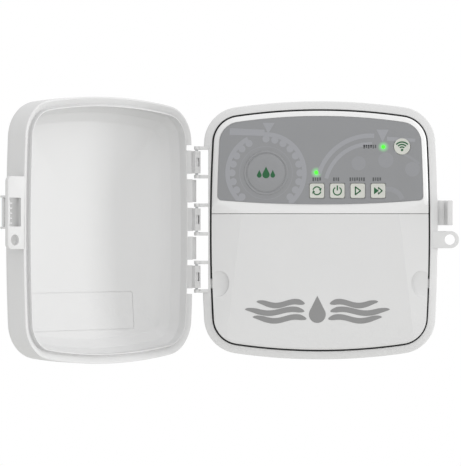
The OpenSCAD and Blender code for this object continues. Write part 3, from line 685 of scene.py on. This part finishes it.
# a water drop: a round base drawn up to a point
def dropPoints(centre, width, height):
    count = 36
    radius = width / 2
    base = Vector((centre[0], centre[1] - height / 2 + radius))
    tip = Vector((centre[0], centre[1] + height / 2))
    half = math.acos(radius / (tip - base).length)
    points = [tuple(tip)]
    for i in range(count + 1):
        a = math.pi / 2 + half + (2 * math.pi - 2 * half) * i / count
        points.append((base.x + radius * math.cos(a), base.y + radius * math.sin(a)))
    return points


drops = [addFlat("drop", dropPoints((badgeAt[0] + dx, badgeAt[1] + dy), w, h), labelTop + 0.7,
                 labelTop + 1.06)
         for dx, dy, w, h in ((0, 0.3, 5.6, 9.0), (-5.2, -0.7, 3.6, 6.0), (5.2, -0.7, 3.6, 6.0))]
give(join("badge_drops", drops), "enclosure", "green")

dial = {"dotRadius": 2.75, "dotRing": 26.2, "step": 15, "band": (28.0, 31.4)}
printed = []
for i in range(-9, 10):
    if i == -1:
        continue
    a = math.radians(90 - i * dial["step"])
    at = (badgeAt[0] + dial["dotRing"] * math.cos(a), badgeAt[1] + dial["dotRing"] * math.sin(a))
    printed.append(addFlat("dot", circlePoints(at, 24)(dial["dotRadius"]), labelTop - 0.05, printTop))
printed.append(addFlat("band", arcBand(badgeAt, *dial["band"], -52, 92, 60), labelTop - 0.05,
                       printTop - 0.01))
printed.append(addFlat("band", arcBand(badgeAt, *dial["band"], 118, 232, 60), labelTop - 0.05,
                       printTop - 0.01))
printed.append(addFlat("mark", [(-44.5, 83.0), (-40.2, 74.6), (-35.2, 83.0)], labelTop - 0.05, printTop))
printed.append(addFlat("mark", [(-70.0, 78.9), (-70.0, 73.6), (-43.0, 72.9), (-43.0, 77.6)],
                       labelTop - 0.05, printTop))
swing = (38.7, 31.5)
printed.append(addFlat("sweep", arcBand(swing, 39.8, 43.2, 86, 163, 48), labelTop - 0.05, printTop))
printed.append(addFlat("sweep", arcBand(swing, 33.6, 36.6, 88, 166, 48), labelTop - 0.05, printTop))
printed.append(addFlat("mark", [(43.4, 77.7), (48.1, 68.2), (52.8, 77.7)], labelTop - 0.05, printTop))
printed.append(addFlat("mark", [(51.5, 72.3), (51.5, 69.0), (73.2, 68.2), (73.2, 70.6)], labelTop - 0.05,
                       printTop))


def clipToLabel(name, parts):
    sheet = extrudeProfile("sheet", [(0.6, labelTop - 0.2), (0.6, labelTop + 0.2)], labelPoints)
    piece = join(name, parts)
    modifier = piece.modifiers.new("clip", "BOOLEAN")
    modifier.operation = "INTERSECT"
    modifier.solver = "EXACT"
    modifier.use_self = True
    modifier.object = sheet
    activate(piece)
    bpy.ops.object.modifier_apply(modifier="clip")
    bpy.data.objects.remove(sheet)
    return piece


give(clipToLabel("label_graphics", printed), "enclosure", "print", smoothing=0)

faint = [addFlat("ring", arcBand(badgeAt, 20.1, 20.7, 0, 359.9, 90), labelTop - 0.05, printTop - 0.015)]
for x, y, r in ((29.6, 51.7, 5.5), (50.6, 54.2, 5.9), (71.2, 47.1, 5.7)):
    faint.append(addFlat("disc", circlePoints((x, y), 32)(r), labelTop - 0.05, printTop - 0.015))
faint.append(addFlat("hill", arcBand((52.5, 20.4), 9.5, 13.2, 18, 150, 40), labelTop - 0.05,
                     printTop - 0.015))
faint.append(addFlat("sweep", arcBand((50.0, 22.0), 38.5, 40.4, 48, 80, 30), labelTop - 0.05,
                     printTop - 0.015))
give(clipToLabel("label_graphics_faint", faint), "enclosure", "faint", smoothing=0)

# short bars stand in for the words beside the keys
caption = {"wide": (1.25, 0.95, 1.1), "lift": (0.0, 0.35, 0.0, 0.5), "gap": 0.65, "spans": (
    (-6.0, 1.0, 37.9, 41.0), (9.9, 15.6, 37.9, 41.0), (22.6, 34.4, 37.9, 41.0), (40.4, 48.2, 37.9, 41.0),
    (33.3, 44.4, 63.1, 66.2))}
words = []
for low, high, y0, y1 in caption["spans"]:
    x = low
    turn = 0
    while x < high - 0.9:
        wide = caption["wide"][turn % 3]
        base = y0 + caption["lift"][turn % 4]
        bar = [(x, base), (x + wide, base), (x + wide, y1 - 0.2), (x, y1 - 0.2)]
        words.append(addFlat("word", bar, labelTop - 0.05, printTop))
        x += wide + caption["gap"]
        turn += 1
give(join("label_captions", words), "enclosure", "ink", smoothing=0)

print("stage: keys and light pipes")

keyTop = panelTop + 0.5


def keyCap(name, cx, cy):
    half, (lipLow, lipHigh) = keySize["lipHalf"], keySize["lip"]
    lip = addBlock("lip", (cx - half, cy - half, lipLow), (cx + half, cy + half, lipHigh), 0.3)
    body = addBlock("cap", (cx - keyHalf, cy - keyHalf, keySize["low"]), (cx + keyHalf, cy + keyHalf, keyTop))
    activate(body)
    bpy.ops.object.mode_set(mode="EDIT")
    mesh = bmesh.from_edit_mesh(body.data)
    for edge in mesh.edges:      # the four upright corners are rounded first
        edge.select = abs((edge.verts[0].co - edge.verts[1].co).normalized().y) > 0.9
    bmesh.update_edit_mesh(body.data)
    bpy.ops.mesh.select_mode(type="EDGE")
    bpy.ops.mesh.bevel(offset=keySize["corner"] * mm, segments=5, affect="EDGES")
    mesh = bmesh.from_edit_mesh(body.data)
    front = min(face.calc_center_median().y for face in mesh.faces)
    for face in mesh.faces:
        face.select = abs(face.calc_center_median().y - front) < 1e-6
    for edge in mesh.edges:
        edge.select = all(abs(v.co.y - front) < 1e-6 for v in edge.verts)
    bmesh.update_edit_mesh(body.data)
    bpy.ops.mesh.bevel(offset=keySize["edge"] * mm, segments=3, affect="EDGES")
    bpy.ops.mesh.select_mode(type="FACE")
    bpy.ops.mesh.select_all(action="DESELECT")
    mesh = bmesh.from_edit_mesh(body.data)
    front = min(face.calc_center_median().y for face in mesh.faces)
    for face in mesh.faces:
        face.select = abs(face.calc_center_median().y - front) < 1e-6
    bmesh.update_edit_mesh(body.data)
    bpy.ops.mesh.inset(thickness=keySize["border"] * mm)
    bpy.ops.mesh.inset(thickness=keySize["step"] * mm, depth=-keySize["dish"] * mm)
    bpy.ops.mesh.select_mode(type="VERT")
    bpy.ops.object.mode_set(mode="OBJECT")
    return join(name, [body, lip])


iconLow, iconTop = keyTop - 0.3, keyTop - 0.07


def icon(name, shapes, body):
    parts = [addFlat("icon", shape, iconLow, iconTop) for shape in shapes]
    give(join(name, parts), body, "green", smoothing=0)


for name in keys:
    x, y = boxMiddle(name + "_button")
    give(keyCap(name + "_keycap", x, y), name + "_key", "key", name + "_button", 40)

x, y = boxMiddle("auto_button")
ringRadius = 3.0
autoShapes = []
for start in (32, 212):
    head = math.radians(start)
    tip = math.radians(start - 42)
    autoShapes.append(arcBand((x, y), ringRadius - 0.48, ringRadius + 0.48, start, start + 135))
    autoShapes.append([(x + (ringRadius + 1.4) * math.cos(head), y + (ringRadius + 1.4) * math.sin(head)),
                       (x + (ringRadius - 1.4) * math.cos(head), y + (ringRadius - 1.4) * math.sin(head)),
                       (x + ringRadius * math.cos(tip), y + ringRadius * math.sin(tip))])
icon("auto_icon", autoShapes, "auto_key")
x, y = boxMiddle("off_button")
icon("off_icon", [arcBand((x, y - 0.2), 2.6, 3.55, 120, 420, 48), stroke((x, y + 0.2), (x, y + 4.1), 1.0)],
     "off_key")
x, y = boxMiddle("manual_button")
icon("manual_icon", [stroke(a, b, 0.95) for a, b in (
    ((x - 1.8, y + 3.0), (x + 2.2, y)), ((x + 2.2, y), (x - 1.8, y - 3.0)), ((x - 1.8, y - 3.3), (x - 1.8,
                                                                                                  y + 3.3)))],
     "manual_key")
x, y = boxMiddle("next_button")
icon("next_icon", [[(x - 3.2, y + 2.8), (x - 3.2, y - 2.8), (x + 0.6, y)],
                   stroke((x, y + 2.6), (x + 3.2, y - 0.1), 0.95), stroke((x + 3.2, y + 0.1), (x, y - 2.6),
                                                                          0.95),
                   stroke((x + 0.2, y + 2.7), (x + 0.2, y + 1.0), 0.6),
                   stroke((x + 0.2, y - 2.7), (x + 0.2, y - 1.0), 0.6)], "next_key")
wifiCap = extrudeProfile("wifi_keycap", [
    (7.4, 67.3), (7.4, 68.4), (6.3, 68.5), (6.3, keyTop - 0.35), (6.2, keyTop - 0.12), (5.9, keyTop),
    (5.5, keyTop - 0.02), (5.3, keyTop - 0.12), (2.0, keyTop - 0.12)], circlePoints(wifiAt, 64))
give(wifiCap, "wifi_key", "key", "wifi_button", 40)
x, y = wifiAt
icon("wifi_icon", [arcBand((x, y - 2.7), r - 0.55, r + 0.55, 43, 137) for r in (2.3, 4.2, 6.1)]
     + [circlePoints((x, y - 2.7), 20)(0.95)], "wifi_key")

for name, (x, y) in lensSpots.items():
    lens = extrudeProfile(name + "_light_pipe", [
        (1.5, 59.7), (1.5, 67.8), (2.3, 67.8), (2.3, 68.8), (1.5, 68.8), (1.5, panelTop - 0.05),
        (1.4, panelTop + 0.14), (1.1, panelTop + 0.25), (0.6, panelTop + 0.3)], circlePoints((x, y), 32))
    give(lens, "enclosure", "lens", name + "_lens", 60)

print("stage: wiring bay cover")


def coverForm(depth, name):
    inset = box["faciaInset"] + depth
    top = panelTop - depth
    low = ledge + 0.6 - depth
    edge = 2.4 if depth == 0 else 0.5
    form = extrudeProfile(name, softProfile([
        (85, top, 0), (60, top, 0), (24, top, 0), (inset, top, edge),
        (inset, low, 0), (24, low, 0), (60, low, 0), (85, low, 0)], 12), outlinePoints)
    keepBeyond(form, (0, panel["splitY"] - panel["splitGap"] - depth, 0), (0, 1, 0))
    flare = math.atan((cover["halfLow"] - cover["halfTop"]) / (panel["splitY"] + 64))
    reach = halfWide - box["faciaInset"] - (cover["halfTop"] + cover["halfLow"]) / 2
    fall = math.atan(cover["drop"] / reach)
    turn = Matrix.Rotation(flare, 3, "Z") @ Matrix.Rotation(fall, 3, "Y")
    normal = turn @ Vector((0, 0, 1))
    for side in (1, -1):
        keepBeyond(form, (side * cover["halfTop"], panel["splitY"], top), (side * normal.x, normal.y,
                                                                           normal.z))
    return form


coverOuter = coverForm(0, "bay_cover")
gripBlocks = []
for side in (-1, 1):
    xs = sorted((side * (halfWide - 22), side * (halfWide + 2)))
    half = cover["gripLength"] / 2 + 3
    block = addBlock("grip", (xs[0], cover["gripY"] - half, ledge + 3), (xs[1], cover["gripY"] + half,
                                                                         panelTop + 2))
    gripBlocks.append(boolean(block, [copyOf(coverOuter, "limit")], "INTERSECT"))
bayCover = boolean(coverOuter, [coverForm(panel["wall"], "inner")])
boolean(bayCover, gripBlocks, "UNION")
scoops = []
for side in (-1, 1):
    deselectAll()
    middle = place(side * (halfWide - box["faciaInset"] - cover["gripInset"]), cover["gripY"],
                   panelTop - cover["gripSink"])
    bpy.ops.mesh.primitive_uv_sphere_add(segments=64, ring_count=32, radius=mm, location=middle)
    bpy.context.object.scale = (cover["gripWide"], cover["gripDeep"], cover["gripLength"] / 2)
    scoops.append(bakePlace(bpy.context.object, "scoop"))
boolean(bayCover, scoops)
tabs = []
for side in (-1, 1):
    xs = sorted(side * x for x in cover["tab"])
    tabs.append(addBlock("tab", (xs[0], cover["gripY"] - cover["tabHalf"], cover["tabZ"][0]),
                         (xs[1], cover["gripY"] + cover["tabHalf"], cover["tabZ"][1]), 0.4))
bayCover = join("bay_cover", [bayCover] + tabs)
give(bayCover, "bay_cover", "cover", "lower_cover", 9)

print("stage: emblem")

emblem = {"x": -2.3, "y": -61.6, "low": panelTop - 0.1, "high": panelTop + 0.12, "drop": (13.0, 21.0),
          "waves": ((9.5, 47.0, 5.0), (9.8, 56.0, -0.9), (8.2, 50.0, -6.8))}
marks = [addFlat("mark", dropPoints((emblem["x"], emblem["y"] + 0.6), *emblem["drop"]), emblem["low"],
                 emblem["high"])]
for side in (-1, 1):
    for start, end, lift in emblem["waves"]:
        top, low = [], []
        for i in range(41):
            t = i / 40
            x = emblem["x"] + side * (start + (end - start) * t)
            wave = 1.5 * math.sin(t * 2.5 * math.pi)
            half = 2.15 * math.sqrt(max(0.0, min(1.0, 9 * t, 5 * (1 - t)))) + 0.02
            top.append((x, emblem["y"] + lift + wave + half))
            low.append((x, emblem["y"] + lift + wave - half))
        marks.append(addFlat("wave", top + low[::-1], emblem["low"], emblem["high"]))
give(join("bay_cover_emblem", marks), "bay_cover", "padPrint", smoothing=0)

print("stage: door")

door = {"rim": ringTop + 0.3, "front": ringTop + 24.0, "wall": 2.4, "ribIn": 6.65, "ribOut": 7.35,
        "sweepStart": -36.0, "sweepEnd": -84.3, "sweepDepth": 13.0}
rim, front = door["rim"], door["front"]
floor = front - door["wall"]
doorTray = extrudeProfile("door_tray", softProfile([
    (88, front, 0), (70, front - 0.02, 0), (50, front - 0.15, 0), (36, front - 0.45, 0), (24, front - 0.75,
                                                                                          0),
    (17, front - 0.95, 0), (0.4, front - 1.3, 7.6), (0.0, rim, 0.5), (1.2, rim, 0.3), (5.9, rim + 2.6, 0.5),
    (door["ribIn"], rim - 0.4, 0.25), (door["ribOut"], rim - 0.4, 0.25), (door["ribOut"] + 0.2, rim + 5.9,
                                                                          1.6),
    (11.5, rim + 12.4, 3.0), (18.0, rim + 17.9, 4.0), (24, rim + 19.0, 0), (30, rim + 19.7, 0), (36,
                                                                                                 rim + 20.2,
                                                                                                 0),
    (43, rim + 20.6, 0), (50, rim + 20.9, 0), (60, rim + 21.1, 0), (70, rim + 21.2, 0), (80, rim + 21.25, 0),
    (88, floor, 0)], 9), outlinePoints)
# on the hinge side the floor sweeps up to the rim in one long curve
turnCentre = cornerCentre()
for vertex in doorTray.data.vertices:
    x, y, z = vertex.co.x / mm, abs(vertex.co.z / mm), -vertex.co.y / mm
    past = Vector((-x, y)) - turnCentre
    inside = y < halfHigh - door["ribOut"] and x > door["ribOut"] - halfWide
    if past.x > 0 and past.y > 0:
        inside = past.length < box["cornerRadius"] - door["ribOut"]
    if inside and x < door["sweepStart"] and rim + 2 < z < floor + 0.05:
        t = min(1.0, (door["sweepStart"] - x) / (door["sweepStart"] - door["sweepEnd"]))
        curved = floor - door["sweepDepth"] * (1 - math.sqrt(1 - t * t))
        vertex.co.y = -min(z, curved) * mm

notches = []
for y in armHeights:
    notches.append(addBlock("notch", (hinge["x"] - 8, y - hinge["notchHalf"], rim - 4),
                            (-halfWide + 5.8, y + hinge["notchHalf"], rim + 6), 0.2))


def frameTool(corners, radius, width, low, high):
    (x0, y0), (x1, y1) = corners
    loops = []
    for grow in (0, -width):
        loop = []
        r = radius + grow
        for cx, cy, start in ((x1 - radius, y0 + radius, -90), (x1 - radius, y1 - radius, 0),
                              (x0 + radius, y1 - radius, 90), (x0 + radius, y0 + radius, 180)):
            angles = [math.radians(start + 15 * i) for i in range(7)]
            loop += [(cx + r * math.cos(a), cy + r * math.sin(a)) for a in angles]
        loops.append(loop)
    tool = addFlat("frame", loops[0], low, high)
    return boolean(tool, [addFlat("frame", loops[1], low - 1, high + 1)])


boolean(doorTray, notches)
# a fine groove of even depth frames the place for the programme label
labelFrame = {"low": (-45.5, -75.7), "high": (68.8, -46.4), "corner": 3.0, "width": 0.8, "deep": 0.3}
deeper = copyOf(doorTray, "deeper")
deeper.data.transform(Matrix.Translation((0, -labelFrame["deep"] * mm, 0)))
grooveTool = frameTool((labelFrame["low"], labelFrame["high"]), labelFrame["corner"], labelFrame["width"],
                       floor - 14, floor + 1.5)
boolean(grooveTool, [deeper])
boolean(doorTray, [grooveTool])

doorParts = [doorTray]
for i in range(3):
    y = hinge["topArm"] - (2 * i + 0.5) * hinge["pitch"]
    h = hinge["knuckleH"] / 2
    plate = addBlock("knuckle", (hinge["x"], y - h, hinge["z"] - hinge["knuckleR"]),
                     (-halfWide + 1.2, y + h, hinge["z"] + hinge["knuckleR"]))
    barrel = addBar("knuckle", (hinge["x"], y, hinge["z"]), hinge["knuckleR"], 2 * h, vertices=64)
    for piece, reach in ((plate, 1.9), (barrel, 1.6)):    # a window shows where the pin snaps in
        doorParts.append(boolean(piece, [addBlock(
            "cut", (hinge["x"] + hinge["windowNear"], y - hinge["windowHalf"], hinge["z"] - 4),
            (hinge["x"] + hinge["windowFar"], y + hinge["windowHalf"], hinge["z"] - reach))]))
for i in range(2):
    y = hinge["topArm"] - (2 * i + 1.5) * hinge["pitch"]
    h = hinge["knuckleH"] / 2
    doorParts.append(addBlock("filler", (hinge["x"] - 1.5, y - h, rim + 1.4),
                              (-halfWide + 1.5, y + h, hinge["z"] + hinge["knuckleR"] - 0.6), 0.3))

lugT, lugHigh, corner = lug["t"], lug["high"], lug["corner"]
x0, x1 = halfWide - 1.3, lug["out"]
plate = [(x0, lug["low"])]
for cx, cy, start in ((x1 - corner, lug["low"] + corner, -90), (x1 - corner, lugHigh - corner, 0)):
    angles = [math.radians(start + 9 * i) for i in range(11)]
    plate += [(cx + corner * math.cos(a), cy + corner * math.sin(a)) for a in angles]
plate.append((x0, lugHigh))
doorLug = softenEdges(addFlat("door_lug", plate, rim, rim + lugT), 0.35)
window = {"low": (94.3, 2.6), "high": (106.0, 23.6)}
boolean(doorLug, [addBlock("cut", (*window["low"], rim - 1), (*window["high"], rim + lugT + 1), 0.6),
                  addBar("cut", (*lug["padlock"], rim + 1), lug["hole"], 10, "out")])
doorParts.append(doorLug)
latch = {"x": 105.0, "z": rim + 6.9, "r": 1.5, "middle": 13.1, "length": 20.4, "cheeks": (1.0, 23.6),
         "cheekT": 1.6}
for y0 in latch["cheeks"]:
    doorParts.append(addBlock("cheek", (halfWide - 3, y0, rim + lugT - 0.5),
                              (latch["x"] + 1.8, y0 + latch["cheekT"], latch["z"] + 2.4), 0.5))
rib = {"x": (103.0, 106.3), "start": 4.6, "pitch": 3.6, "thick": 0.9}
for i in range(5):    # small ribs stiffen the window's outer side
    y = rib["start"] + i * rib["pitch"]
    doorParts.append(addBlock("rib", (rib["x"][0], y, rim + 0.3), (rib["x"][1], y + rib["thick"],
                                                                   rim + 1.7), 0.2))
doorShell = join("door_tray", doorParts)


# from closed to the open angle that is the rest position
def swingDoor(piece):
    at = Vector((hinge["x"] * mm, -hinge["z"] * mm, 0))
    piece.data.transform(Matrix.Translation(at) @ Matrix.Rotation(openAngle, 4,
                                                                  "Z") @ Matrix.Translation(-at))
    return piece


swingDoor(doorShell)
give(doorShell, "door", "door", "door_shell", 28)

latchParts = [addBar("barrel", (latch["x"], latch["middle"], latch["z"]), latch["r"], latch["length"],
                     rounding=0.3),
              addBlock("tab", (latch["x"] - 1.3, 2.9, rim + lugT + 0.1), (latch["x"] + 0.3, 23.3,
                                                                          latch["z"] + 2.0), 0.4),
              addBlock("toe", (latch["x"] - 2.8, 3.9, rim + lugT + 0.1), (latch["x"], 22.3,
                                                                          rim + lugT + 1.3), 0.35)]
for i in range(5):    # thumb grip ridges
    latchParts.append(addBlock("ridge", (latch["x"] + 0.2, 6.5 + i * 3.1, latch["z"] - 3.0),
                               (latch["x"] + 0.6, 7.3 + i * 3.1, latch["z"] + 1.6), 0.15))
give(swingDoor(join("latch_tab", latchParts)), "latch", "latch", "door_latch")

print("stage: inner parts")

innerLooks = {
    "control_board": "board", "tact_switches": "chip", "led_chips": "led", "processor_chip": "chip",
    "wifi_module": "shield", "output_triacs": "chip", "filter_capacitors": "sleeve",
    "surge_arrestors": "arrestor",
    "terminal_block": "terminal", "terminal_screws": "zinc", "board_screws": "zinc",
    "electronics_back_cover": "case", "back_cover_screws": "zinc", "facia_screws": "zinc",
    "transformer_core": "core", "transformer_coil": "coil", "transformer_screws": "zinc",
    "mains_terminal_block": "mains", "mains_terminal_screws": "zinc", "mains_grommet": "rubberAndGapShade",
    "spare_entry_plug": "plug", "door_hinge_pins": "pin", "latch_pin": "pin"}
for name, look in innerLooks.items():
    for materialSlot in frame["nodes"][name].material_slots:
        materialSlot.material = finish[look]

print("stage: light and floor")

studio = {"ambient": 0.92, "slope": 0.68, "brightSide": (0.62, 0.0, 0.785), "fillPower": 10.0,
          "fillAt": (-1.9, -2.2, 0.2), "fillSize": 1.6, "keyPower": 27.0, "keyAt": (2.57, 0.37, 0.1),
          "keySize": (0.22, 1.4), "floorAt": (-0.07, 0.0, -0.30), "floorSize": (3.0, 2.4, 1)}

world = bpy.data.worlds.new("studio")
bpy.context.scene.world = world
world.use_nodes = True
skyTree = world.node_tree
skyTree.nodes.clear()
seen = addNode(skyTree, "ShaderNodeLightPath")
heading = addNode(skyTree, "ShaderNodeTexCoord")
towards = addNode(skyTree, "ShaderNodeVectorMath", {"operation": "DOT_PRODUCT", 1: studio["brightSide"]},
                  {0: heading.outputs["Generated"]})
level = addNode(skyTree, "ShaderNodeMapRange", {
    "From Min": -1.0, "From Max": 1.0, "To Min": studio["ambient"] * (1 - studio["slope"]),
    "To Max": studio["ambient"] * (1 + studio["slope"])}, {"Value": towards.outputs["Value"]})
plain = addNode(skyTree, "ShaderNodeBackground", {"Color": (1, 1, 1, 1)},
                {"Strength": level.outputs["Result"]})
bright = addNode(skyTree, "ShaderNodeBackground", {"Color": (1, 1, 1, 1), "Strength": 1.0})
choice = addNode(skyTree, "ShaderNodeMixShader", {},
                 {0: seen.outputs["Is Camera Ray"], 1: plain.outputs[0], 2: bright.outputs[0]})
addNode(skyTree, "ShaderNodeOutputWorld", {}, {"Surface": choice.outputs[0]})
bpy.context.scene.view_settings.view_transform = "Standard"

bpy.ops.object.light_add(type="AREA", location=studio["keyAt"])
key = bpy.context.object
key.data.shape = "RECTANGLE"
key.data.size, key.data.size_y = studio["keySize"]
key.data.energy = studio["keyPower"]
key.rotation_euler = (Vector(studio["keyAt"])).to_track_quat("Z", "Y").to_euler()
bpy.ops.object.light_add(type="AREA", location=studio["fillAt"])
fill = bpy.context.object
fill.data.size = studio["fillSize"]
fill.data.energy = studio["fillPower"]
fill.rotation_euler = (Vector(studio["fillAt"])).to_track_quat("Z", "Y").to_euler()

deselectAll()
bpy.ops.mesh.primitive_plane_add(size=1, location=studio["floorAt"])
bpy.context.object.scale = studio["floorSize"]
studioFloor = bakePlace(bpy.context.object, "studio_floor")
studioFloor.data.materials.append(surface("paleFloor", "#e4e4e2", {"roughness": 0.8, "mottle": 0.01,
                                                                   "cloudMm": 300}))
